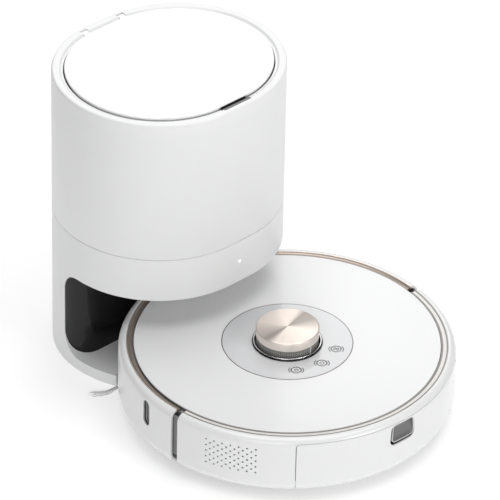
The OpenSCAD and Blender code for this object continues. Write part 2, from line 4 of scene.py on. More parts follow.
import bmesh
import bpy
from mathutils import Matrix, Vector


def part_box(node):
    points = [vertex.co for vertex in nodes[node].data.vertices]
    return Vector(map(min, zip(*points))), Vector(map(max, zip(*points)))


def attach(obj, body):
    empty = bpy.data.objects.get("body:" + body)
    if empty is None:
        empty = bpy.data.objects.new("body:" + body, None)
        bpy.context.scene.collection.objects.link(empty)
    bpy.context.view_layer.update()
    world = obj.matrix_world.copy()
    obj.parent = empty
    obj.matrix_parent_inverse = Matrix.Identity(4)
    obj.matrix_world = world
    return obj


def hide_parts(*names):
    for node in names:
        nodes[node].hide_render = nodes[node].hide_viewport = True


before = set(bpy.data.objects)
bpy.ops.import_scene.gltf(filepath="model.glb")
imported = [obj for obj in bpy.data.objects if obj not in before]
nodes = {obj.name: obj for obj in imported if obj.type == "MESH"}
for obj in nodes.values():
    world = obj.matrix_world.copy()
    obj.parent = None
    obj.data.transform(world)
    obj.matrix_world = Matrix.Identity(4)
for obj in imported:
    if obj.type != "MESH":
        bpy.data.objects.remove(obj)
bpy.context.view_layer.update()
MM = 0.001

# ---- sizes, in millimetres, from the frame


def box_mm(node):
    low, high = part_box(node)
    return low / MM, high / MM


def half_width(node):
    low, high = box_mm(node)
    return (high.x - low.x) / 2


cover_low, cover_high = box_mm("top_cover")
robot = ((cover_low + cover_high) / 2).to_2d()       # the robot's vertical axis
robot_r = half_width("bumper")
top_z = cover_high.z
belly_z = box_mm("chassis")[0].z
cover_r = half_width("top_cover")
disc_r = half_width("control_disc")
turret_r = half_width("lidar_cap")
turret_z = box_mm("lidar_cap")[1].z
bin_top = box_mm("dust_bin")[1].z
tower_r = box_mm("upper_housing")[1].y
tower_half = box_mm("upper_housing")[1].x - tower_r
tower_h = box_mm("rim_trim")[1].z
seam_z = box_mm("lower_housing")[1].z
lid_r = box_mm("station_lid")[1].x - tower_half
lid_top = box_mm("station_lid")[1].z
# angles on the robot are in degrees from its rear, turning towards +X
GAP_ANGLE = 84          # middle of the gap at each end of the bumper
GAP_HALF = 1.4
BIN_ANGLE = 40          # half of the dust bin's opening
BUTTON_RING = 52        # radius of the circle that the buttons lie on
BUTTON_STEP = 33        # angle from one button to the next

# ---- mesh helpers


def rounded(points, steps=5):
    """A closed outline from (x, y, radius) corners, each rounded with an arc of that radius."""
    out = []
    n = len(points)
    for i, (x, y, r) in enumerate(points):
        here = Vector((x, y))
        before = Vector(points[i - 1][:2]) - here
        after = Vector(points[(i + 1) % n][:2]) - here
        if r <= 0:
            out.append((x, y))
            continue
        a, b = before.normalized(), after.normalized()
        half = a.angle(b) / 2
        cut = min(r / math.tan(half), before.length * 0.49, after.length * 0.49)
        r = cut * math.tan(half)
        centre = here + (a + b).normalized() * (r / math.sin(half))
        start = here + a * cut - centre
        turn = (here + b * cut - centre).angle(start)
        sign = 1 if start.cross(here + b * cut - centre) > 0 else -1
        for k in range(steps + 1):
            t = sign * turn * k / steps
            out.append((centre.x + start.x * math.cos(t) - start.y * math.sin(t),
                        centre.y + start.x * math.sin(t) + start.y * math.cos(t)))
    return out


def shade(mesh, angle):
    mesh.shade_smooth()
    mesh.set_sharp_from_angle(angle=math.radians(angle))


def new_piece(name, bm, angle):
    """Turns a bmesh into a smooth-shaded object, sharp where it turns more than an angle."""
    mesh = bpy.data.meshes.new(name)
    bm.to_mesh(mesh)
    bm.free()
    shade(mesh, angle)
    piece = bpy.data.objects.new(name, mesh)
    bpy.context.scene.collection.objects.link(piece)
    return piece


def finish_mesh(name, bm, angle=30):
    """Cleans a bmesh in millimetres and makes it a piece in metres."""
    bmesh.ops.remove_doubles(bm, verts=bm.verts, dist=1e-4)
    bmesh.ops.dissolve_degenerate(bm, edges=bm.edges, dist=1e-4)
    bmesh.ops.recalc_face_normals(bm, faces=bm.faces)
    bm.transform(Matrix.Scale(MM, 4))
    return new_piece(name, bm, angle)


def grid_solid(name, rings, closed_path, angle=30):
    """A solid from rings of points, each ring one closed section."""
    bm = bmesh.new()
    grid = [[bm.verts.new(p) for p in ring] for ring in rings]
    count = len(grid)
    m = len(grid[0])
    for i in range(count if closed_path else count - 1):
        a, b = grid[i], grid[(i + 1) % count]
        for j in range(m):
            bm.faces.new((a[j], a[(j + 1) % m], b[(j + 1) % m], b[j]))
    if not closed_path:
        bm.faces.new(grid[0])
        bm.faces.new(list(reversed(grid[-1])))
    return finish_mesh(name, bm, angle)


def outward(angle):
    """Level direction away from the robot's axis, at an angle from its rear."""
    t = math.radians(angle - 90)
    return Vector((math.cos(t), math.sin(t), 0))


def robot_axis(z):
    return Vector((robot.x, robot.y, z))


def round_tower(name, profile, steps=160):
    """Sweeps a profile of radius and height round the tower's outline."""
    rings = []
    for side in (1, -1):
        for i in range(steps // 2 + 1):
            t = math.pi * (i / (steps // 2) - 0.5) + (0 if side == 1 else math.pi)
            rings.append([(side * tower_half + r * math.cos(t), r * math.sin(t), z)
                          for r, z in profile])
    return grid_solid(name, rings, True)


def turned(name, profile, centre=robot, steps=192, start=0.0, end=360.0):
    """Turns a profile of radius and height about a vertical axis, from angle start to end."""
    whole = abs(end - start) >= 360
    rings = []
    for i in range(steps if whole else steps + 1):
        t = math.radians(start + (end - start) * i / steps - 90)
        rings.append([(centre[0] + r * math.cos(t), centre[1] + r * math.sin(t), z)
                      for r, z in profile])
    return grid_solid(name, rings, whole)


def band(name, r0, r1, z0, z1, edge=0, arcs=3, **sweep):
    """A ring of rectangular section, from r0 to r1 and z0 to z1, with its top edges rounded."""
    corners = [(r0, z0, 0), (r1, z0, 0), (r1, z1, edge), (r0, z1, edge)]
    return turned(name, rounded(corners, arcs), **sweep)


def prism(name, outline, origin, axis_out, up, depth):
    """Extrudes an outline, drawn in the plane across axis_out, by depth along axis_out."""
    out = Vector(axis_out).normalized()
    up = Vector(up).normalized()
    side = up.cross(out)
    bm = bmesh.new()
    loops = []
    for d in (0, depth):
        loops.append([bm.verts.new(Vector(origin) + side * x + up * y + out * d)
                      for x, y in outline])
    n = len(outline)
    for j in range(n):
        bm.faces.new((loops[0][j], loops[0][(j + 1) % n], loops[1][(j + 1) % n], loops[1][j]))
    bm.faces.new(list(reversed(loops[0])))
    bm.faces.new(loops[1])
    return finish_mesh(name, bm)


def block(name, low, high, bevel=0.6):
    """A box with rounded edges, between two corners in millimetres."""
    bm = bmesh.new()
    bmesh.ops.create_cube(bm, size=1)
    low, high = Vector(low), Vector(high)
    for v in bm.verts:
        v.co = Vector([low[i] + (v.co[i] + 0.5) * (high[i] - low[i]) for i in range(3)])
    if bevel:
        bmesh.ops.bevel(bm, geom=list(bm.edges), offset=bevel, segments=3, affect="EDGES",
                        profile=0.5)
    return finish_mesh(name, bm, 40)


def rod(name, a, b, r, segments=24):
    """A plain round bar between two points in millimetres, with small chamfers."""
    a, b = Vector(a), Vector(b)
    axis = b - a
    turn = axis.to_track_quat("Z", "Y")
    chamfer = min(r * 0.25, 0.4)
    stations = [(0, r - chamfer), (chamfer, r), (axis.length - chamfer, r),
                (axis.length, r - chamfer)]
    rings = []
    for i in range(segments):
        t = 2 * math.pi * i / segments
        rings.append([tuple(a + turn @ Vector((q * math.cos(t), q * math.sin(t), h)))
                      for h, q in [(0, 0)] + stations + [(axis.length, 0)]])
    return grid_solid(name, rings, True, 35)


def bristle_wire(name, points, radii):
    """A thin five-sided wire that is nowhere upright, with a radius at each point."""
    rings = []
    last = len(points) - 1
    for i, (p, r) in enumerate(zip(points, radii)):
        along = points[min(i + 1, last)] - points[max(i - 1, 0)]
        side = along.cross(Vector((0, 0, 1))).normalized()
        up = side.cross(along).normalized()
        rings.append([tuple(p + (side * math.cos(t) + up * math.sin(t)) * r)
                      for t in [2 * math.pi * k / 5 for k in range(5)]])
    return grid_solid(name, rings, False, 60)


def join(name, pieces):
    """Makes one new piece from several, and removes them."""
    bm = bmesh.new()
    for p in pieces:
        bm.from_mesh(p.data)
        bpy.data.objects.remove(p)
    return new_piece(name, bm, 35)


def boolean(piece, cutter, operation="DIFFERENCE"):
    """Cuts piece with cutter, applies the result to its mesh, and removes the cutter."""
    mod = piece.modifiers.new("cut", "BOOLEAN")
    mod.operation = operation
    mod.solver = "EXACT"
    mod.object = cutter
    bpy.context.view_layer.update()
    graph = bpy.context.evaluated_depsgraph_get()
    mesh = bpy.data.meshes.new_from_object(piece.evaluated_get(graph))
    piece.modifiers.clear()
    old = piece.data
    piece.data = mesh
    bpy.data.meshes.remove(old)
    bpy.data.objects.remove(cutter)
    shade(mesh, 30)
    return piece


def soften(piece, width=0.5, segments=2, angle=35):
    """Rounds the sharp edges of a piece or a CAD node with a bevel modifier."""
    mod = piece.modifiers.new("soft_edges", "BEVEL")
    mod.width = width * MM
    mod.segments = segments
    mod.limit_method = "ANGLE"
    mod.angle_limit = math.radians(angle)
    mod.harden_normals = True
    return piece


def place(piece, body, slot, material, *replaced):
    """Puts a piece on its body, with its finish and the CAD nodes that it stands for."""
    piece.data.materials.clear()
    piece.data.materials.append(material)
    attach(piece, body)
    if replaced:
        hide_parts(*replaced)
    return piece


# ---- materials


def noise(node, scale, detail=2):
    made = node("ShaderNodeTexNoise")
    made.inputs["Scale"].default_value = scale
    made.inputs["Detail"].default_value = detail
    return made


def map_range(node, low, high):
    made = node("ShaderNodeMapRange")
    made.inputs["To Min"].default_value = low
    made.inputs["To Max"].default_value = high
    return made


def bump_node(node, strength, depth):
    made = node("ShaderNodeBump")
    made.inputs["Strength"].default_value = strength
    made.inputs["Distance"].default_value = depth * MM
    return made


def glow(mat, strength):
    shader = mat.node_tree.nodes["Principled BSDF"]
    shader.inputs["Emission Color"].default_value = (1, 1, 1, 1)
    shader.inputs["Emission Strength"].default_value = strength


def material(name, colour, rough, metallic=0.0, spread=0.02, grain=900, bump=0.02, depth=0.02,
             coat=0.0, coat_rough=0.05, sheen=0.0, ior=1.5, aniso=0.0, rough_spread=0.06,
             blotch=14):
    """A surface with a slight drift of colour and gloss, and a fine grain of depth millimetres."""
    mat = bpy.data.materials.new(name)
    mat.use_nodes = True
    tree = mat.node_tree
    node, link = tree.nodes.new, tree.links.new
    shader = tree.nodes["Principled BSDF"]
    where = node("ShaderNodeTexCoord")

    drift = noise(node, blotch)
    link(where.outputs["Object"], drift.inputs["Vector"])
    ramp = node("ShaderNodeValToRGB")
    ramp.color_ramp.elements[0].color = [max(c * (1 - spread), 0) for c in colour] + [1]
    ramp.color_ramp.elements[1].color = [min(c * (1 + spread * 0.5), 1) for c in colour] + [1]
    link(drift.outputs["Fac"], ramp.inputs["Fac"])
    link(ramp.outputs["Color"], shader.inputs["Base Color"])

    gloss = map_range(node, max(rough - rough_spread, 0.02), min(rough + rough_spread, 1))
    link(drift.outputs["Fac"], gloss.inputs["Value"])
    link(gloss.outputs["Result"], shader.inputs["Roughness"])

    fine = noise(node, grain)
    link(where.outputs["Object"], fine.inputs["Vector"])
    relief = bump_node(node, bump, depth)
    link(fine.outputs["Fac"], relief.inputs["Height"])
    link(relief.outputs["Normal"], shader.inputs["Normal"])

    for socket, value in (("Metallic", metallic), ("IOR", ior), ("Coat Weight", coat),
                          ("Coat Roughness", coat_rough), ("Sheen Weight", sheen),
                          ("Anisotropic", aniso)):
        shader.inputs[socket].default_value = value
    mat["relief"] = relief.name
    return mat


def add_height(mat, make, strength, depth):
    """Adds a second relief to a material. make(node, link, coordinates) returns a height socket."""
    tree = mat.node_tree
    node, link = tree.nodes.new, tree.links.new
    where = node("ShaderNodeTexCoord")
    relief = bump_node(node, strength, depth)
    link(make(node, link, where.outputs["Object"]), relief.inputs["Height"])
    old = tree.nodes[mat["relief"]]
    link(old.outputs["Normal"], relief.inputs["Normal"])
    link(relief.outputs["Normal"], tree.nodes["Principled BSDF"].inputs["Normal"])
    return mat


white_housing = material("white_housing", (0.865, 0.868, 0.87), 0.34, spread=0.008, grain=1400,
                         bump=0.015, depth=0.03, coat=0.15, coat_rough=0.3, rough_spread=0.02)
white_gloss = material("white_gloss", (0.93, 0.93, 0.93), 0.13, spread=0.006, grain=300,
                       bump=0.004, coat=0.6, coat_rough=0.06, rough_spread=0.015)
robot_white = material("robot_white", (0.87, 0.872, 0.875), 0.26, spread=0.008, grain=1400,
                       bump=0.012, coat=0.3, coat_rough=0.15, rough_spread=0.02)
rim_grey = material("rim_grey", (0.885, 0.887, 0.89), 0.32, spread=0.008, grain=1400, bump=0.012,
                    coat=0.2, coat_rough=0.2, rough_spread=0.02)
black_gloss = material("black_gloss", (0.008, 0.008, 0.0085), 0.16, spread=0.1, grain=200,
                       bump=0.01, coat=0.1, ior=1.35)
champagne = material("champagne", (0.80, 0.70, 0.62), 0.24, metallic=1.0, spread=0.04,
                     grain=1800, bump=0.05)
# champagne darkened to paint the shade of the groove under the top cover's lip
champagne_painted_shade = material("champagne_painted_shade", (0.40, 0.34, 0.30), 0.3, metallic=0.85,
                          spread=0.06, grain=1800, bump=0.05)
line_grey = material("line_grey", (0.26, 0.245, 0.23), 0.35, metallic=0.4, spread=0.05,
                     grain=1800, bump=0.03)
control_grey = material("control_grey", (0.72, 0.725, 0.735), 0.16, spread=0.01, grain=300,
                        bump=0.01, coat=0.5)
icon_grey = material("icon_grey", (0.07, 0.07, 0.075), 0.35, spread=0.05)
# dark grey of the release key's face: its silver darkened as painted shade of the recess
key_painted_shade_grey = material("key_painted_shade_grey", (0.19, 0.19, 0.192), 0.36, metallic=0.2, spread=0.05,
                       grain=1600, bump=0.06)
grey_plastic = material("grey_plastic", (0.34, 0.34, 0.35), 0.5, spread=0.05, grain=1200,
                        bump=0.15, depth=0.04)
dark_plastic = material("dark_plastic", (0.045, 0.045, 0.05), 0.48, spread=0.15, grain=1100,
                        bump=0.2, depth=0.05)
steel = material("steel", (0.62, 0.62, 0.63), 0.28, metallic=1.0, spread=0.05, grain=900,
                 bump=0.08)
chrome_line = material("chrome_line", (0.82, 0.82, 0.83), 0.12, metallic=1.0)
brass = material("brass", (0.80, 0.60, 0.28), 0.22, metallic=1.0, spread=0.08, bump=0.05)
rubber = material("rubber", (0.03, 0.03, 0.031), 0.75, spread=0.2, grain=1500, bump=0.25,
                  depth=0.05)
tyre_rubber = material("tyre_rubber", (0.028, 0.028, 0.03), 0.8, spread=0.25, grain=1300,
                       bump=0.35, depth=0.06)
cavity_grey = material("cavity_grey", (0.26, 0.26, 0.265), 0.6, spread=0.05, bump=0.1)
# dark grey of the ledge in the finger recess: painted shade
ledge_painted_shade_grey = material("ledge_painted_shade_grey", (0.17, 0.17, 0.173), 0.5, spread=0.05, bump=0.1)
strip_grey = material("strip_grey", (0.22, 0.22, 0.225), 0.5, spread=0.05, bump=0.1)
light_silver = material("light_silver", (0.66, 0.66, 0.67), 0.3, metallic=0.35, spread=0.04,
                        grain=1600, bump=0.05)

# ---- camera, floor and light

CAMERA_AZIMUTH = math.radians(-43.45)
CAMERA_ELEVATION = math.radians(34.15)
CAMERA_ROLL = math.radians(1.17)
CAMERA_DISTANCE = 5.3367
CAMERA_AIM = Vector((0, 0, 0.15))
CAMERA_ACROSS = 0.0859      # how far the camera is moved to its right
CAMERA_ALONG = -0.0436      # and up in its own picture
CAMERA_LENS = 366.9
CAMERA_SENSOR = 36
FLOOR_HALF = 14000


def make_camera():
    az, el = CAMERA_AZIMUTH, CAMERA_ELEVATION
    back = Vector((math.sin(az) * math.cos(el), -math.cos(az) * math.cos(el), math.sin(el)))
    flat = Vector((math.cos(az), math.sin(az), 0))
    upright = back.cross(flat)
    right = flat * math.cos(CAMERA_ROLL) + upright * math.sin(CAMERA_ROLL)
    up = upright * math.cos(CAMERA_ROLL) - flat * math.sin(CAMERA_ROLL)
    place_at = CAMERA_AIM + right * CAMERA_ACROSS + up * CAMERA_ALONG + back * CAMERA_DISTANCE
    data = bpy.data.cameras.new("camera")
    data.lens = CAMERA_LENS
    data.sensor_width = CAMERA_SENSOR
    data.clip_end = 50
    camera = bpy.data.objects.new("camera", data)
    bpy.context.scene.collection.objects.link(camera)
    turn = Matrix((right, up, back)).transposed()
    camera.matrix_world = Matrix.Translation(place_at) @ turn.to_4x4()
    bpy.context.scene.camera = camera


make_camera()


def area_light(name, spot, aim, size, power):
    data = bpy.data.lights.new(name, "AREA")
    data.shape = "RECTANGLE"
    data.size, data.size_y = size
    data.energy = power
    lamp = bpy.data.objects.new(name, data)
    bpy.context.scene.collection.objects.link(lamp)
    lamp.location = spot
    lamp.rotation_euler = (Vector(aim) - Vector(spot)).to_track_quat("-Z", "Y").to_euler()


area_light("softbox_top", (0.1, -0.2, 2.4), (0, -0.1, 0), (2.0, 2.0), 36)
area_light("softbox_front", (0.25, -2.7, 1.3), (0, -0.1, 0.15), (1.2, 1.0), 19)
area_light("softbox_left", (-2.07, -1.74, 1.3), (0, -0.1, 0.15), (1.2, 1.0), 15.5)
area_light("softbox_back", (2.0, 2.1, 1.96), (0, -0.2, 0.1), (3.0, 2.2), 37)

world = bpy.data.worlds.new("studio")
world.use_nodes = True
world.node_tree.nodes["Background"].inputs["Color"].default_value = (1, 1, 1, 1)
world.node_tree.nodes["Background"].inputs["Strength"].default_value = 0.09
bpy.context.scene.world = world
bpy.context.scene.view_settings.view_transform = "Standard"


def make_floor():
    bm = bmesh.new()
    for x, y in ((-1, -1), (1, -1), (1, 1), (-1, 1)):
        bm.verts.new((x * FLOOR_HALF, y * FLOOR_HALF, 0))
    bm.faces.new(bm.verts)
    floor = finish_mesh("floor", bm)
    white = material("floor_white", (0.66, 0.66, 0.66), 0.9, spread=0.004, bump=0.0, blotch=2)
    glow(white, 0.48)
    floor.data.materials.append(white)


make_floor()

# ---- station

WALL = 3
SEAM_GAP = 0.8
SEAM_DEPTH = 0.9                      # how far the seam's closed face lies behind the outside
LID_GAP = 1.2
LID_INSET = 0.5                       # the visual lid is this much smaller than the CAD one
RIM_BORE = 92
NOTCH_HALF, NOTCH_DEPTH = 18.5, 6.2   # the finger recess at the front of the rim
KNUCKLE_W = 8
LED_Z = 140

rim_z0 = box_mm("rim_trim")[0].z
upper = round_tower("upper_housing_shell", rounded([
    (tower_r - WALL, seam_z + 0.05, 0), (tower_r - SEAM_DEPTH, seam_z + 0.05, 0),
    (tower_r - SEAM_DEPTH, seam_z + SEAM_GAP, 0.1), (tower_r, seam_z + SEAM_GAP, 0.35),
    (tower_r, rim_z0, 0), (tower_r - WALL, rim_z0, 0)], 4))
place(upper, "station", "white_housing", white_housing, "upper_housing")

lid_r -= LID_INSET
lid_top -= LID_INSET
rim_inner = lid_r + LID_GAP
rim = round_tower("rim_trim_ring", rounded([
    (RIM_BORE, rim_z0, 0), (tower_r, rim_z0, 0), (tower_r, tower_h, 2.4),
    (tower_r - 8, tower_h - 0.35, 2), (tower_r - 10, tower_h - 2.1, 1.2),
    (rim_inner + 0.8, tower_h - 2.4, 0.4), (rim_inner, tower_h - 2.2, 0.3),
    (rim_inner, rim_z0 + 2.6, 0.3), (RIM_BORE, rim_z0 + 2.6, 0)], 6), steps=200)
notch = rounded([(-NOTCH_HALF, 4, 0), (-NOTCH_HALF, -NOTCH_DEPTH, 1.5),
                 (NOTCH_HALF, -NOTCH_DEPTH, 1.5), (NOTCH_HALF, 4, 0)])
boolean(rim, prism("notch_cut", notch, (0, -rim_inner, tower_h - 9), (0, 0, 1), (0, 1, 0), 20))
pins_low, pins_high = box_mm("lid_hinge_pins")
hinge_y, hinge_z = (pins_low.y + pins_high.y) / 2, (pins_low.z + pins_high.z) / 2
hinge_x = pins_high.x - KNUCKLE_W
for x in (-hinge_x, hinge_x):
    boolean(rim, block("slot_cut", (x - KNUCKLE_W / 2 - 0.5, hinge_y - 12, hinge_z - 3.5),
                       (x + KNUCKLE_W / 2 + 0.5, hinge_y + 2.6, hinge_z + 16.5), 0.3))
    boolean(rim, rod("pin_cut", (x - KNUCKLE_W, hinge_y, hinge_z),
                     (x + KNUCKLE_W, hinge_y, hinge_z), 1))
place(rim, "station", "rim_grey", rim_grey, "rim_trim")

# lid: a glossy plate with a hidden skirt below it and two hinge knuckles
plate_z0 = lid_top - 2.5
lid = round_tower("station_lid_plate", rounded([
    (0, plate_z0, 0), (lid_r - 6.7, plate_z0, 0), (lid_r - 6.7, rim_z0 + 5, 0.4),
    (lid_r - 2, rim_z0 + 5, 0.4), (lid_r - 2, plate_z0, 0), (lid_r, plate_z0, 0.4),
    (lid_r, lid_top, 0.9), (0, lid_top, 0)], 5), steps=200)
knuckle = rounded([(-13, -1.6, 0.3), (-0.5, -2.2, 1.8), (2.2, -1.5, 1.4), (2.2, 1.5, 1.6),
                   (0, 2.2, 1.6), (-4, 1.6, 0.5), (-13, 1.6, 0)])
arms = [prism("arm", knuckle, (x - KNUCKLE_W / 2, hinge_y, hinge_z), (1, 0, 0), (0, 0, 1),
              KNUCKLE_W) for x in (-hinge_x, hinge_x)]
# a bevel under the lid's front edge leaves room for a finger
undercut = [(-lid_r - 2, lid_top - 0.8), (-lid_r + 0.3, lid_top - 0.8),
            (-lid_r + 3, lid_top - 3.5), (-lid_r + 3, rim_z0), (-lid_r - 2, rim_z0)]
boolean(lid, prism("undercut", undercut, (-NOTCH_HALF, 0, 0), (1, 0, 0), (0, 0, 1),
                   2 * NOTCH_HALF))
lid = join("station_lid_plate", [lid] + arms)
# a dark sheet under the lid's front edge: painted shade in the finger recess
painted_shade_sheet = block("lid_painted_shade_sheet", (-NOTCH_HALF + 0.1, -lid_r + 2.3, rim_z0 + 5.2),
             (NOTCH_HALF - 0.1, -lid_r + 3.1, lid_top - 2.8), 0.1)
place(painted_shade_sheet, "station_lid", "dark_plastic", dark_plastic)
place(lid, "station_lid", "white_gloss", white_gloss, "station_lid")

# dark floor of the reveal round the lid, seen through the gap: painted shade at the bottom of the
# gap
lid_gap_painted_shade = round_tower("lid_reveal_painted_shade", [
    (rim_inner - 0.05, rim_z0 + 2.62), (rim_inner - 0.05, rim_z0 + 5.2),
    (rim_inner - 0.6, rim_z0 + 5.2), (rim_inner - 0.6, rim_z0 + 3.2),
    (lid_r - 4.4, rim_z0 + 3.2), (lid_r - 4.4, rim_z0 + 2.62)])
place(lid_gap_painted_shade, "station", "dark_plastic", dark_plastic)
# lining of the finger recess: a deep dark slot beside the lid, its dark colour painted shade, then
# a grey ledge whose darkness is painted shade too
slot_z = rim_z0 + 2.7
notch_slot_painted_shade = block("notch_lining_painted_shade", (-NOTCH_HALF + 0.1, -rim_inner - NOTCH_DEPTH + 0.1, slot_z),
               (NOTCH_HALF - 0.1, -rim_inner - 0.2, slot_z + 2.6), 0.2)
place(notch_slot_painted_shade, "station", "dark_plastic", dark_plastic)
# the ledge's dark grey is painted shade of the recess
ledge = block("notch_ledge", (-NOTCH_HALF + 0.1, -rim_inner - NOTCH_DEPTH + 0.1, slot_z + 2),
              (NOTCH_HALF - 0.1, -rim_inner - 1.5, tower_h - 1.1), 0.4)
place(ledge, "station", "grey_plastic", ledge_painted_shade_grey)

# status light: a small glowing lens, turned upright and laid into the housing's front
led = turned("status_led_lens", [(0, 0), (1.0, 0), (1.0, 4.9), (0.8, 5.15), (0, 5.3)],
             centre=(0, 0), steps=24)
led.data.transform(Matrix.Translation((0, (5 - tower_r) * MM, LED_Z * MM))
                   @ Matrix.Rotation(math.pi / 2, 4, "X"))
led_mat = material("status_light", (1, 1, 1), 0.2, spread=0.01, bump=0.0)
glow(led_mat, 3)
place(led, "station", "light", led_mat, "status_led")

# ---- robot shell


def arc(x, y, r, a0, a1, steps=8):
    angles = [math.radians(a0 + (a1 - a0) * i / steps) for i in range(steps + 1)]
    return [(x + r * math.cos(t), y + r * math.sin(t)) for t in angles]


RING_OUT = 166.6                    # where the trim rings end
TRIM_IN = 159.4                     # and begin
LOW_R, HIGH_R, SKIRT = 16, 8, 2.5   # the side wall's lower and upper roundings and its thickness
LOW_ANGLE = -75.5                   # how far the lower rounding turns in under the robot
LIP = 0.45
LINE_PROUD = 0.02                   # how far the fine lines stand above the top
BIN_CLEARANCE = 0.25
GRILLE_COLUMNS, GRILLE_START, GRILLE_PITCH = 13, -71, 1.46
GRILLE_Z, GRILLE_ROW_STEP, GRILLE_HOLE_R = 50.2, 7.1, 1.15
STRIP_HALF = 3.4
SENSOR_ANGLE = -98.2
SENSOR_HALF = 9.5                   # from the sensor's middle to the middle of each round end

skirt_z = belly_z + 1
low_x, low_z = robot_r - LOW_R, skirt_z + LOW_R
high_x, high_z = robot_r - HIGH_R, top_z - HIGH_R


def skirt_profile(top=None):
    """Section of the side wall, from under the robot to its trim ring or to a height."""
    outer = arc(low_x, low_z, LOW_R, LOW_ANGLE, 0, 12)
    inner = arc(low_x, low_z, LOW_R - SKIRT, 0, -70, 8)
    if top is None:
        outer += arc(high_x, high_z, HIGH_R, 0, 86, 10)
        outer += arc(RING_OUT + LIP, top_z - LIP, LIP, 80, 180, 5)
        inner = [(RING_OUT, top_z - SKIRT)] + arc(high_x, high_z, HIGH_R - SKIRT, 88, 0, 6) + inner
    else:
        z = top - high_z
        turn = math.degrees(math.asin(max(min(z / HIGH_R, 1), 0)))
        outer += arc(high_x, high_z, HIGH_R, 0, turn, 8)
        turn_in = math.degrees(math.asin(max(min(z / (HIGH_R - SKIRT), 1), 0)))
        inner = arc(high_x, high_z, HIGH_R - SKIRT, turn_in, 0, 6) + inner
    return outer + inner


def corner_cut(angle, side, r, z):
    """Fills the square corner outside a rounding of radius r at the end of an arc."""
    points = arc(r, -r, r, 180, 90) + [(r, 1), (-1, 1), (-1, -r)]
    points = [(side * x, y) for x, y in points]
    out = outward(angle)
    return prism("corner", points, robot_axis(z) + out * 150, out, (0, 0, 1), 40)


rear_end = GAP_ANGLE - GAP_HALF
rear_sweep = {"start": -rear_end, "end": rear_end, "steps": 160}
bumper_start = GAP_ANGLE + GAP_HALF
bumper_sweep = {"start": bumper_start, "end": 360 - bumper_start, "steps": 240}

rear = turned("rear_housing_shell", skirt_profile(), start=-rear_end, end=rear_end, steps=150)
hole_end = BIN_ANGLE + BIN_CLEARANCE
bin_hole = band("bin_hole", 150, 190, 0, bin_top + 0.3, start=-hole_end, end=hole_end, steps=90)
for side in (-1, 1):
    boolean(bin_hole, corner_cut(side * hole_end, -side, 4.5, bin_top + 0.3))
boolean(rear, bin_hole)
holes = []
for i in range(GRILLE_COLUMNS):
    rows = 5 if i % 2 == 0 else 4
    out = outward(GRILLE_START + i * GRILLE_PITCH)
    for j in range(rows):
        centre = robot_axis(GRILLE_Z + (j - (rows - 1) / 2) * GRILLE_ROW_STEP)
        holes.append(rod("hole", centre + out * (robot_r - 6), centre + out * (robot_r + 6),
                         GRILLE_HOLE_R, 16))
boolean(rear, join("exhaust_holes", holes))
place(rear, "robot", "robot_white", robot_white, "rear_housing")

# grey strip behind the gap at each end of the bumper, with a dark band at its foot that is painted
# shade
for side in (-1, 1):
    start, end = sorted((side * (GAP_ANGLE - STRIP_HALF), side * (GAP_ANGLE + STRIP_HALF)))
    name = "left" if side < 0 else "right"
    strip = band("gap_strip_" + name, 168.6, 171.3, 25, 72, start=start, end=end, steps=12)
    place(strip, "robot", "grey_plastic", strip_grey)
    # dark band at the gap's foot: painted shade
    foot = band("gap_painted_shade_" + name, 168.4, 171.5, 21.5, 24.9, start=start, end=end, steps=12)
    place(foot, "robot", "dark_plastic", dark_plastic)

# dark sheet behind the exhaust holes: painted shade seen through them
behind = band("exhaust_painted_shade_sheet", 170.2, 171.8, 30, 70, start=-73, end=-51, steps=20)
place(behind, "robot", "dark_plastic", dark_plastic)

bump = turned("bumper_shell", skirt_profile(), **bumper_sweep)
sensor_low, sensor_high = box_mm("wall_sensor")
sensor_centre = robot_axis((sensor_low.z + sensor_high.z) / 2)
sensor_out = outward(SENSOR_ANGLE)


def sensor_pill(name, r, distance, depth):
    """An upright bar with round ends of radius r, that starts at a distance from the axis."""
    outline = arc(0, SENSOR_HALF, r, 0, 180, 10) + arc(0, -SENSOR_HALF, r, 180, 360, 10)
    return prism(name, outline, sensor_centre + sensor_out * distance, sensor_out, (0, 0, 1), depth)


boolean(bump, sensor_pill("slot_cut", 5.5, 160, 20))
place(bump, "bumper", "robot_white", robot_white, "bumper")

frame_ring = sensor_pill("sensor_frame", 5.45, 169.8, 4)
boolean(frame_ring, sensor_pill("frame_hole", 4.2, 165, 12))
soften(frame_ring, 0.3)
place(frame_ring, "bumper", "dark_plastic", dark_plastic)
lens = sensor_pill("wall_sensor_lens", 4.3, 169.7, 2.2)
soften(lens, 0.3)
sensor_grey = material("sensor_grey", (0.12, 0.12, 0.122), 0.25, spread=0.08, coat=0.3)
place(lens, "bumper", "smoky_window", sensor_grey, "wall_sensor")
rail = sensor_pill("sensor_rail", 4.15, 171.7, 0.7)
boolean(rail, sensor_pill("rail_hole", 3.5, 170, 6))
place(rail, "bumper", "grey_plastic", light_silver)

# trim rings: a dished band between two fine lines
rear_ring = turned("rear_trim_band", rounded([
    (TRIM_IN, 73.2, 0), (RING_OUT - 0.1, 73.2, 0), (RING_OUT - 0.1, top_z - 0.35, 0.25),
    (RING_OUT - 1.2, top_z - 0.15, 0.3), (163.2, top_z - 0.9, 2), (160.9, top_z - 0.5, 0.4),
    (160.3, top_z - 0.1, 0.2), (TRIM_IN, top_z - 0.3, 0.15)], 4), **rear_sweep)
cream = material("cream_band", (0.84, 0.82, 0.80), 0.3, bump=0.03)
place(rear_ring, "robot", "champagne", cream, "rear_trim")
for name, r0, r1 in (("rear_line_outer", RING_OUT - 1.75, RING_OUT - 0.45),
                     ("rear_line_inner", 159.55, 161.15)):
    line = band(name, r0, r1, top_z - 1.2, top_z + LINE_PROUD, 0.15, **rear_sweep)
    place(line, "robot", "champagne", line_grey)
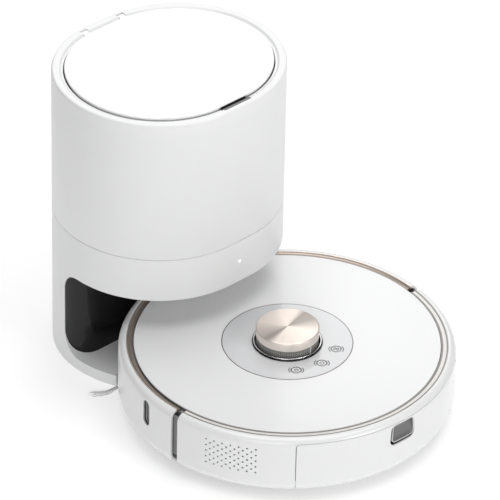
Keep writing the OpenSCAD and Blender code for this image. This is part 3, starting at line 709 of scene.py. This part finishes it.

# the bumper's trim band: champagne, darkened as painted shade of its groove
bumper_ring = turned("bumper_trim_band", rounded([
    (160.2, 73.5, 0), (RING_OUT - 0.1, 73.5, 0), (RING_OUT - 0.1, top_z - 0.3, 0.25),
    (RING_OUT - 1.1, top_z - 0.1, 0.25), (RING_OUT - 2.0, top_z - 1.0, 0.8),
    (163.0, top_z - 1.7, 2.0), (161.2, top_z - 2.0, 0.6), (160.2, top_z - 2.2, 0.15)], 4),
    **bumper_sweep)
place(bumper_ring, "bumper", "champagne", champagne_painted_shade, "bumper_trim")
edge_line = band("bumper_edge_line", RING_OUT - 1.15, RING_OUT - 0.15, top_z - 1.4,
                 top_z + LINE_PROUD, 0.15, **bumper_sweep)
place(edge_line, "bumper", "champagne", champagne)

# ---- robot top

DECK_Z = 74             # the underside of the top cover and of the control disc
BUTTON_R = 5.9
LINE = 0.8              # width of the icons' lines
LINE_HEIGHT = 0.12
ICON_SINK = 0.02        # how far the icons sit in the surface

cover = turned("top_cover_plate", rounded([
    (62, 71.5, 0), (72, 71.5, 0), (72, DECK_Z, 0), (150, DECK_Z, 0), (150, 76.1, 0),
    (cover_r, 76.1, 0), (cover_r, top_z, 0.5), (disc_r + 0.35, top_z, 0.15),
    (disc_r + 0.35, DECK_Z, 0), (62, DECK_Z, 0)]), steps=256)
place(cover, "robot", "robot_white", robot_white, "top_cover")

disc_top = top_z + 0.1
disc = band("control_disc_plate", turret_r + 3.6, disc_r - 0.5, DECK_Z, disc_top, 0.3, 4)


def button_centre(i):
    return robot_axis(0) + outward(i * BUTTON_STEP) * BUTTON_RING


for i in (-1, 0, 1):
    c = button_centre(i)
    boolean(disc, rod("button_hole", (c.x, c.y, 70), (c.x, c.y, 90), BUTTON_R + 0.3, 64))
place(disc, "robot", "control_grey", control_grey, "control_disc")
outline = band("control_outline", disc_r - 0.75, disc_r + 0.25, 74.5, disc_top + 0.08, 0.15)
place(outline, "robot", "champagne", line_grey)


def raised_line(points, z, closed=False):
    """A thin raised line that follows points on the control disc."""
    pts = [Vector((p[0], p[1])) for p in points]
    top = z + LINE_HEIGHT
    rings = []
    n = len(pts)
    for i, p in enumerate(pts):
        if closed:
            along = pts[(i + 1) % n] - pts[i - 1]
        else:
            along = pts[min(i + 1, n - 1)] - pts[max(i - 1, 0)]
        side = Vector((-along.y, along.x)).normalized() * LINE / 2
        a, b = p - side, p + side
        rings.append([(a.x, a.y, z), (b.x, b.y, z), (b.x, b.y, top), (a.x, a.y, top)])
    return grid_solid("mark", rings, closed, 40)


def icon(name, c, turn, z):
    """The lines of one button's generic icon, inside a circle."""
    up = Matrix.Rotation(math.radians(turn), 2)

    def at(*points):
        return [Vector((c.x, c.y)) + up @ Vector(p) for p in points]

    def circle(r):
        return raised_line(arc(c.x, c.y, r, 0, 360, 40)[:-1], z, True)

    def curve(r, a0, a1):
        return raised_line(arc(c.x, c.y, r, a0 + turn, a1 + turn, 40), z)

    marks = [circle(4.9)]
    if name == "home":
        marks += [raised_line(at((-2.2, -0.2), (0, 2.1), (2.2, -0.2)), z),
                  raised_line(at((-1.5, 0.2), (-1.5, -2.0), (1.5, -2.0), (1.5, 0.2)), z)]
    elif name == "power":
        marks += [curve(2.3, 125, 415), raised_line(at((0, 0.3), (0, 2.8)), z)]
    else:
        marks += [circle(1), curve(2.7, 20, 160), curve(2.7, 200, 340)]
    return join(name + "_icon", marks)


button_top = box_mm("power_button")[1].z
for i, name in ((-1, "home"), (0, "power"), (1, "spot")):
    c = button_centre(i)
    key = rod(name + "_key", (c.x, c.y, 74.9), (c.x, c.y, button_top), BUTTON_R, 64)
    place(key, name + "_button", "control_grey", control_grey, name + "_button")
    place(icon(name, c, i * BUTTON_STEP, button_top - ICON_SINK), name + "_button", "icon_grey",
          icon_grey)
    brackets = [raised_line(arc(c.x, c.y, 7.6, k - 36, k + 36, 16), disc_top - ICON_SINK)
                for k in (-42, 138)]
    place(join(name + "_side_marks", brackets), "robot", "icon_grey", icon_grey)

# ---- laser turret

base_ring = turned("lidar_base_ring", rounded([
    (turret_r + 0.5, 74.2, 0), (turret_r + 3.5, 74.2, 0), (turret_r + 3.5, 79.0, 0.6),
    (turret_r + 2.6, 79.6, 0.2), (turret_r + 1.1, 79.6, 0.2), (turret_r + 0.5, 78.6, 0.2)], 4),
    steps=160)
floor_disc = turned("lidar_floor", [
    (0, 73.05), (turret_r + 3.4, 73.05), (turret_r + 3.4, 74.6), (3, 74.6), (3, 86), (0, 86)],
    steps=96)
place(join("lidar_base_ring", [base_ring, floor_disc]), "robot", "black_gloss", black_gloss,
      "lidar_ring")
chrome = band("lidar_chrome_line", turret_r + 1.2, turret_r + 2.65, 78.6, 80.1, 0.5, 5, steps=160)
place(chrome, "robot", "steel", chrome_line)


def turret_rod(name, distance, angle, z0, z1, r, segments):
    """An upright rod at a distance from the turret's axis."""
    foot = robot_axis(z0) + outward(angle) * distance
    return rod(name, foot, foot + Vector((0, 0, z1 - z0)), r, segments)


RIBS = 90
smoky = material("smoky_window", (0.25, 0.245, 0.235), 0.2, spread=0.1, bump=0.01, coat=0.4)
window = band("lidar_window_band", turret_r - 2.2, turret_r - 0.9, 74.8, 90.1, steps=160)
place(window, "robot", "smoky_window", smoky, "lidar_window")
ribs = [turret_rod("rib", turret_r - 0.95, 90 + 360 * i / RIBS, 75, 90, 0.3, 8)
        for i in range(RIBS)]
rib_grey = material("rib_grey", (0.32, 0.315, 0.305), 0.3, spread=0.08, coat=0.2)
place(join("lidar_window_ribs", ribs), "robot", "smoky_window", rib_grey)
post = turret_rod("lidar_window_post", turret_r - 0.8, 4, 75, 88, 0.85, 12)
place(post, "robot", "control_grey", control_grey)

cap = turned("lidar_cap_shell", rounded([
    (0, 93, 0), (turret_r - 3, 93, 0), (turret_r - 3, 90.3, 0), (turret_r - 0.8, 90.3, 0),
    (turret_r - 0.8, 87, 0.2), (turret_r, 87, 0.4), (turret_r, turret_z, 1.6),
    (0, turret_z, 0)]), steps=200)
pillars = [turret_rod("pillar", turret_r - 3.9, angle, 74.5, 90.5, 1.4, 16)
           for angle in (125, 245, 5)]
# the cap's colour, into which light and dark reflection wedges are painted below
cap_metal = material("champagne_brushed_painted_wedges", (0.95, 0.865, 0.80), 0.4, metallic=0.6, grain=1500,
                     bump=0.0, aniso=0.5, rough_spread=0.02)


def painted_reflection_wedges(mat, stops):
    """Painted reflection: light and dark wedges of tone painted into the colour round the turret's
    axis, in place of a turned metal face's reflections, with radial streaks.
    Each stop is an angle in degrees from +X and a level. Upright faces keep their plain colour."""
    tree = mat.node_tree
    node, link = tree.nodes.new, tree.links.new
    shader = tree.nodes["Principled BSDF"]
    tangent = node("ShaderNodeTangent")
    tangent.direction_type = "RADIAL"
    tangent.axis = "Z"
    link(tangent.outputs["Tangent"], shader.inputs["Tangent"])
    where = node("ShaderNodeTexCoord")
    centred = node("ShaderNodeMapping")
    centred.inputs["Location"].default_value = (-robot.x * MM, -robot.y * MM, 0)
    centred.inputs["Scale"].default_value = (1, 1, 0)
    link(where.outputs["Object"], centred.inputs["Vector"])
    sweep = node("ShaderNodeTexGradient")
    sweep.gradient_type = "RADIAL"
    link(centred.outputs["Vector"], sweep.inputs["Vector"])
    tone = node("ShaderNodeValToRGB")
    ramp = tone.color_ramp
    while len(ramp.elements) < len(stops):
        ramp.elements.new(0.5)
    for element, (degrees, level) in zip(ramp.elements, stops):
        element.position = degrees / 360 + 0.5
        element.color = (level, level * 0.985, level * 0.97, 1)
    link(sweep.outputs["Fac"], tone.inputs["Fac"])
    spoke = node("ShaderNodeVectorMath")
    spoke.operation = "NORMALIZE"
    link(centred.outputs["Vector"], spoke.inputs[0])
    streak = noise(node, 22, 4)
    link(spoke.outputs["Vector"], streak.inputs["Vector"])
    fine = map_range(node, 0.9, 1.1)
    link(streak.outputs["Fac"], fine.inputs["Value"])
    facing = node("ShaderNodeNewGeometry")
    split = node("ShaderNodeSeparateXYZ")
    link(facing.outputs["Normal"], split.inputs["Vector"])
    old = shader.inputs["Base Color"].links[0].from_socket
    for factor in (tone.outputs["Color"], fine.outputs["Result"]):
        mix = node("ShaderNodeMix")
        mix.data_type = "RGBA"
        mix.blend_type = "MULTIPLY"
        link(split.outputs["Z"], mix.inputs["Factor"])
        link(old, mix.inputs["A"])
        link(factor, mix.inputs["B"])
        old = mix.outputs["Result"]
    link(old, shader.inputs["Base Color"])


# the stops paint light and dark reflection wedges into the cap's colour
painted_reflection_wedges(cap_metal, (
    (-180, 0.4), (-172, 0.42), (-158, 1.0), (-60, 0.98), (-38, 0.72), (-14, 0.46), (12, 0.42),
    (27, 0.92), (60, 1.0), (120, 0.9), (146, 0.64), (168, 0.55), (180, 0.4)))
place(join("lidar_cap_shell", [cap] + pillars), "robot", "champagne", cap_metal, "lidar_cap")

# ---- dust bin

KEY_SHIFT = (1.0, 1.7)        # the key's gap is wider along the bottom and on the left
OUTLINE_SHIFT = (-2.7, -0.4)  # the key's place on the panel, against the CAD key

panel_top = bin_top - BIN_CLEARANCE
panel = turned("dust_bin_panel", skirt_profile(panel_top), start=-BIN_ANGLE, end=BIN_ANGLE,
               steps=90)
for side in (-1, 1):
    boolean(panel, corner_cut(side * BIN_ANGLE, -side, 4.2, panel_top))
# half widths and heights of the key's outline at its bottom and at its top
key_low, key_high = box_mm("bin_release")
release_w0, release_w1 = key_high.x + 2.2, key_high.x + 0.7
release_z0, release_z1 = key_low.z - 0.3, key_high.z + 1.3


def release_outline(grow, shift=(0, 0)):
    """Rounded outline of the release key, grown by a margin and moved."""
    sx, sz = shift[0] + OUTLINE_SHIFT[0], shift[1] + OUTLINE_SHIFT[1]
    w0, w1, z0, z1 = release_w0 + grow, release_w1 + grow, release_z0 - grow, release_z1 + grow
    low, high = max(6 + grow, 1), max(5 + grow, 1)
    return rounded([(sx - w0, sz + z0, low), (sx + w0, sz + z0, low),
                    (sx + w1, sz + z1, high), (sx - w1, sz + z1, high)], 8)


def rear_prism(name, outline, depth, length):
    """Extrudes an outline out through the robot's rear, from a depth behind its outside."""
    rear_out = Vector((0, -1, 0))
    return prism(name, outline, robot_axis(0) + rear_out * (robot_r - depth), rear_out, (0, 0, 1),
                 length)


def inside(piece, r, steps=192):
    """Keeps what lies within radius r of the robot's axis."""
    return boolean(piece, band("limit", 0, r, 0, 90, steps=steps), "INTERSECT")


boolean(panel, rear_prism("opening", release_outline(0.4), 8, 20))
soften(panel, 0.35)
place(panel, "dust_bin", "robot_white", robot_white, "dust_bin")

tank = block("dust_bin_tank", (-86, robot.y - 172, 14), (86, robot.y - 68, 70), 2.5)
tank_space = block("inner", (-84, robot.y - 170, 16), (84, robot.y - 70, 68), 2)
boolean(inside(tank, 163), inside(tank_space, 160))
boolean(tank, block("mouth", (-35, robot.y - 75, 26), (35, robot.y - 65, 40), 1))
clear_grey = material("tank_grey", (0.16, 0.165, 0.17), 0.22, spread=0.05, bump=0.03, coat=0.3)
place(tank, "dust_bin", "grey_plastic", clear_grey)
# dark rubber plate deep behind the key: painted shade in the opening
socket = rear_prism("release_socket_painted_shade", release_outline(2.2), 11.7, 1.2)
place(socket, "dust_bin", "dark_plastic", rubber)


def on_side(name, outline, inner, depth, reach=0.4):
    """A ring or key that follows the robot's side wall, between two outlines."""
    piece = rear_prism(name, outline, depth, 20)
    if inner:
        boolean(piece, rear_prism("inner", inner, 12, 30))
    return inside(piece, robot_r - reach, 360)


border = on_side("release_border", release_outline(0.35), release_outline(-0.4), 1.4, 0.3)
soften(border, 0.2)
place(border, "dust_bin", "grey_plastic", light_silver)
# dark lining of the gap round the key: painted shade
gap_painted_shade_ring = on_side("release_gap_painted_shade", release_outline(0.35), release_outline(-0.42), 10.5, 1.5)
place(gap_painted_shade_ring, "dust_bin", "dark_plastic", rubber)

# the key's rim in a lighter silver than its face: a painted highlight where its edge catches light
key_painted_highlight_rim = on_side("bin_release_painted_highlight_rim", release_outline(-1.3, KEY_SHIFT),
                  release_outline(-2.2, KEY_SHIFT), 5.5)
soften(key_painted_highlight_rim, 0.3, 3)
place(key_painted_highlight_rim, "bin_release", "control_grey", light_silver)
key = on_side("bin_release_key", release_outline(-2.15, KEY_SHIFT), None, 8.8, 0.8)
# the finger scoop gets deeper from the key's bottom to its top
scoop_rings = []
for grow, depth in ((-2.4, -3), (-2.4, 0.6), (-2.8, 3.2), (-3.8, 5.8), (-6.5, 7.4)):
    ring = []
    for x, z in release_outline(grow, KEY_SHIFT):
        lean = (z - release_z0) / (release_z1 - release_z0)
        d = depth if depth < 1 else depth * (0.12 + 0.88 * lean)
        ring.append((x, robot.y - robot_r + d, z))
    scoop_rings.append(ring)
boolean(key, grid_solid("scoop", scoop_rings, False))
soften(key, 0.5, 3)
# the key's face in a grey darkened as painted shade
place(key, "bin_release", "control_grey", key_painted_shade_grey, "bin_release")

# ---- side brush and main brush

HUB_FROM_AXIS = (-92, 101)
TUFT_ANGLE = 139.6      # the first of three tufts, 120 degrees apart
STRANDS = 16            # in each tuft
STRAND_STEPS = 12
STRAND_LOWEST = 0.35    # no strand goes nearer to the floor

hub = Vector((robot.x + HUB_FROM_AXIS[0], robot.y + HUB_FROM_AXIS[1], 0))
hub_body = turned("side_brush_hub", rounded([
    (0, 4.5, 0), (6, 4.4, 1), (11, 5.4, 1.5), (11, 10.4, 0.8), (3.6, 10.4, 0.5), (3, 34, 0),
    (0, 34, 0)], 4), centre=hub, steps=64)
sleeves = []
for i in range(3):
    t = math.radians(TUFT_ANGLE + i * 120)
    d = Vector((math.cos(t), math.sin(t), 0))
    sleeves.append(rod("sleeve", hub + d * 7 + Vector((0, 0, 6)),
                       hub + d * 22 + Vector((0, 0, 5.7)), 2.0, 20))
brush_white = material("brush_white", (0.78, 0.78, 0.79), 0.4, spread=0.03, bump=0.05)
place(join("side_brush_hub", [hub_body] + sleeves), "side_brush", "side_brush_white",
      brush_white, "side_brush")

# the first tuft bends along the floor past the station, the other two reach straight out
rng = random.Random(7)
routes = [[(-17.2, 14.6, 5.6), (-24, 30, 4.4), (-38, 34, 1.8), (-54, 46, 1.2)]]
for i in (1, 2):
    t = math.radians(TUFT_ANGLE + i * 120)
    routes.append([(r * math.cos(t), r * math.sin(t), z)
                   for r, z in ((22, 5.6), (40, 5.2), (56, 4.8), (71, 4.4))])
strands = []
for route in routes:
    pts = [Vector(p) for p in route]
    for k in range(STRANDS):
        fan, drop = rng.uniform(-1, 1), rng.uniform(-0.4, 0.8)
        cut = rng.uniform(0.86, 1.0)
        path = []
        for j in range(STRAND_STEPS + 1):
            f = j / STRAND_STEPS * cut * (len(pts) - 1)
            i0 = min(int(f), len(pts) - 2)
            u = f - i0
            p0, p1 = pts[max(i0 - 1, 0)], pts[i0]
            p2, p3 = pts[i0 + 1], pts[min(i0 + 2, len(pts) - 1)]
            p = 0.5 * (2 * p1 + (p2 - p0) * u + (2 * p0 - 5 * p1 + 4 * p2 - p3) * u * u
                       + (3 * p1 - p0 - 3 * p2 + p3) * u ** 3)
            along = (p2 - p1).normalized()
            side = along.cross(Vector((0, 0, 1))).normalized()
            grow = 0.9 + 5.5 * (j / STRAND_STEPS) ** 1.6
            p = p + side * fan * grow + Vector((0, 0, 1)) * drop * (0.8 if j else 0.4)
            p.z = max(p.z, STRAND_LOWEST)
            path.append(hub + p)
        strands.append(bristle_wire("strand", path, [0.26 - 0.12 * j / STRAND_STEPS
                                                     for j in range(STRAND_STEPS + 1)]))
bristle = material("bristle", (0.55, 0.55, 0.55), 0.45, spread=0.1, bump=0.05)
place(join("side_brush_filaments", strands), "side_brush", "side_brush_white", bristle,
      "side_brush_bristles")

BRUSH_R, BRUSH_HALF = 21, 77
VANE_STEPS = 40
VANE_TWIST = 34         # degrees from a vane's end to its middle
brush_low, brush_high = box_mm("main_brush")
brush_axis = (brush_low + brush_high) / 2
brush_axis.x = 0


def vane(turn):
    """One curved chevron vane of the main brush, a strip that twists about the brush's axis."""
    rings = []
    section = ((7, -1.1), (14, -0.8), (BRUSH_R - 0.6, -0.5), (BRUSH_R, 0), (BRUSH_R - 0.6, 0.5),
               (14, 0.8), (7, 1.1))
    for i in range(VANE_STEPS + 1):
        x = -BRUSH_HALF + 2 * BRUSH_HALF * i / VANE_STEPS
        t = math.radians(turn + VANE_TWIST * (1 - abs(x) / BRUSH_HALF))
        rings.append([(x, brush_axis.y + r * math.cos(t) - d * math.sin(t),
                       brush_axis.z + r * math.sin(t) + d * math.cos(t)) for r, d in section])
    return grid_solid("vane", rings, False, 40)


core = [rod(name, brush_axis - Vector((half, 0, 0)), brush_axis + Vector((half, 0, 0)), r, count)
        for name, half, r, count in (("core", 79, 8, 48), ("shaft", 87, 3, 24))]
orange = material("brush_orange", (0.62, 0.12, 0.03), 0.55, spread=0.1, bump=0.15, depth=0.04)
place(join("main_brush_roller", core + [vane(i * 60) for i in range(6)]), "main_brush",
      "brush_orange", orange, "main_brush")

# ---- dust bag


BAG_INSET = 7           # the pillow starts this much smaller than its CAD solid, and swells
BAG_EDGE = 16
BAG_VOXEL = 6
BAG_MOST_SWELL = 9
BAG_FRAMES = 20
BAG_CREASE = 1.2
BAG_MARGIN = 0.5        # what stays free inside the CAD solid's box


def make_bag():
    low, high = box_mm("dust_bag")
    inset = Vector((BAG_INSET, BAG_INSET, BAG_INSET))
    bag = block("dust_bag_pillow", low + inset, high - inset, BAG_EDGE)
    mod = bag.modifiers.new("remesh", "REMESH")
    mod.mode = "VOXEL"
    mod.voxel_size = BAG_VOXEL * MM
    bpy.context.view_layer.objects.active = bag
    bpy.ops.object.modifier_apply(modifier="remesh")
    rest = [v.co.copy() for v in bag.data.vertices]
    cloth = bag.modifiers.new("cloth", "CLOTH")
    cloth.settings.use_pressure = True
    cloth.settings.uniform_pressure_force = 4
    cloth.settings.effector_weights.gravity = 0
    scene = bpy.context.scene
    for f in range(1, BAG_FRAMES + 1):
        scene.frame_set(f)
    graph = bpy.context.evaluated_depsgraph_get()
    out = bpy.data.meshes.new_from_object(bag.evaluated_get(graph))
    bag.modifiers.clear()
    most = BAG_MOST_SWELL * MM
    for v, r in zip(out.vertices, rest):
        step = v.co - r
        if step.length > most:
            step *= most / step.length
        v.co = r + step
    bag.data = out
    scene.frame_set(1)
    centre = (low + high) / 2 * MM
    room = (high - low) / 2 * MM - Vector((BAG_MARGIN, BAG_MARGIN, BAG_MARGIN)) * MM
    for v in bag.data.vertices:
        # soft creases all over, in waves of some 40 mm
        d = v.co - centre
        wave = math.sin(d.x * 160 + d.z * 60) * math.sin(d.y * 130 - d.z * 90)
        v.co += d.normalized() * BAG_CREASE * MM * wave
        for k in range(3):
            v.co[k] = min(max(v.co[k], centre[k] - room[k]), centre[k] + room[k])
    bag.data.shade_smooth()
    sub = bag.modifiers.new("smooth", "SUBSURF")
    sub.levels = sub.render_levels = 1
    return bag


fabric = material("bag_fabric", (0.78, 0.75, 0.69), 0.9, spread=0.06, grain=700, bump=0.3,
                  depth=0.12, sheen=0.3)


def weave(node, link, where):
    """Fine waves along all three axes, added up."""
    height = None
    for direction in ("X", "Y", "Z"):
        wave = node("ShaderNodeTexWave")
        wave.bands_direction = direction
        wave.inputs["Scale"].default_value = 260
        link(where, wave.inputs["Vector"])
        if height is None:
            height = wave.outputs["Fac"]
        else:
            add = node("ShaderNodeMath")
            add.operation = "ADD"
            link(height, add.inputs[0])
            link(wave.outputs["Fac"], add.inputs[1])
            height = add.outputs["Value"]
    return height


add_height(fabric, weave, 0.25, 0.1)
bag = make_bag()
place(bag, "station", "bag_fabric", fabric, "dust_bag")

# ---- CAD nodes that keep their shape

card = material("card", (0.55, 0.42, 0.28), 0.85, spread=0.08, grain=500, bump=0.3, depth=0.1)
paper = material("filter_paper", (0.80, 0.76, 0.66), 0.9, spread=0.06, grain=600, bump=0.35,
                 depth=0.1)
board = material("board_green", (0.03, 0.16, 0.07), 0.4, spread=0.2, grain=500, bump=0.1)

# the material of each, and how far its edges are rounded
KEPT = {
    "station_base": (white_housing, 0.6), "lower_housing": (white_housing, 0.7),
    "station_feet": (rubber, 0.4), "cavity_panel": (black_gloss, 0.5), "lid_hinge_pins": (steel, 0),
    "bag_tray": (grey_plastic, 0.5), "bag_collar": (card, 0.3),
    "suction_motor": (dark_plastic, 0.8), "exhaust_filter": (paper, 0.2),
    "rear_grille": (rim_grey, 0.4), "air_duct": (grey_plastic, 0.5),
    "port_seal": (rubber, 0.3), "power_board": (board, 0.2), "power_inlet": (dark_plastic, 0.5),
    "housing_screws": (steel, 0.2),
    "charge_contact_left": (brass, 0.2), "charge_contact_right": (brass, 0.2),
    "chassis": (cavity_grey, 0.4), "chassis_wall": (cavity_grey, 0.4),
    "lidar_rotor": (dark_plastic, 0.5), "battery": (dark_plastic, 1.2),
    "main_board": (board, 0.2), "suction_fan": (dark_plastic, 0.8),
    "brush_box": (grey_plastic, 0.6), "brush_guard": (dark_plastic, 0.5),
    "side_brush_motor": (dark_plastic, 0.8),
    "wheel_arm_left": (grey_plastic, 0.4), "wheel_arm_right": (grey_plastic, 0.4),
    "drive_wheel_left": (grey_plastic, 0.5), "drive_wheel_right": (grey_plastic, 0.5),
    "tyre_left": (tyre_rubber, 0.5), "tyre_right": (tyre_rubber, 0.5),
    "caster_fork": (dark_plastic, 0.5), "caster_wheel": (rubber, 0.6),
    "charge_pads": (brass, 0.1), "cliff_sensors": (black_gloss, 0.1), "bin_filter": (paper, 0.2),
}
for name, (mat, width) in KEPT.items():
    part = nodes[name]
    part.data.materials.clear()
    part.data.materials.append(mat)
    if width:
        soften(part, width, 2, 40)
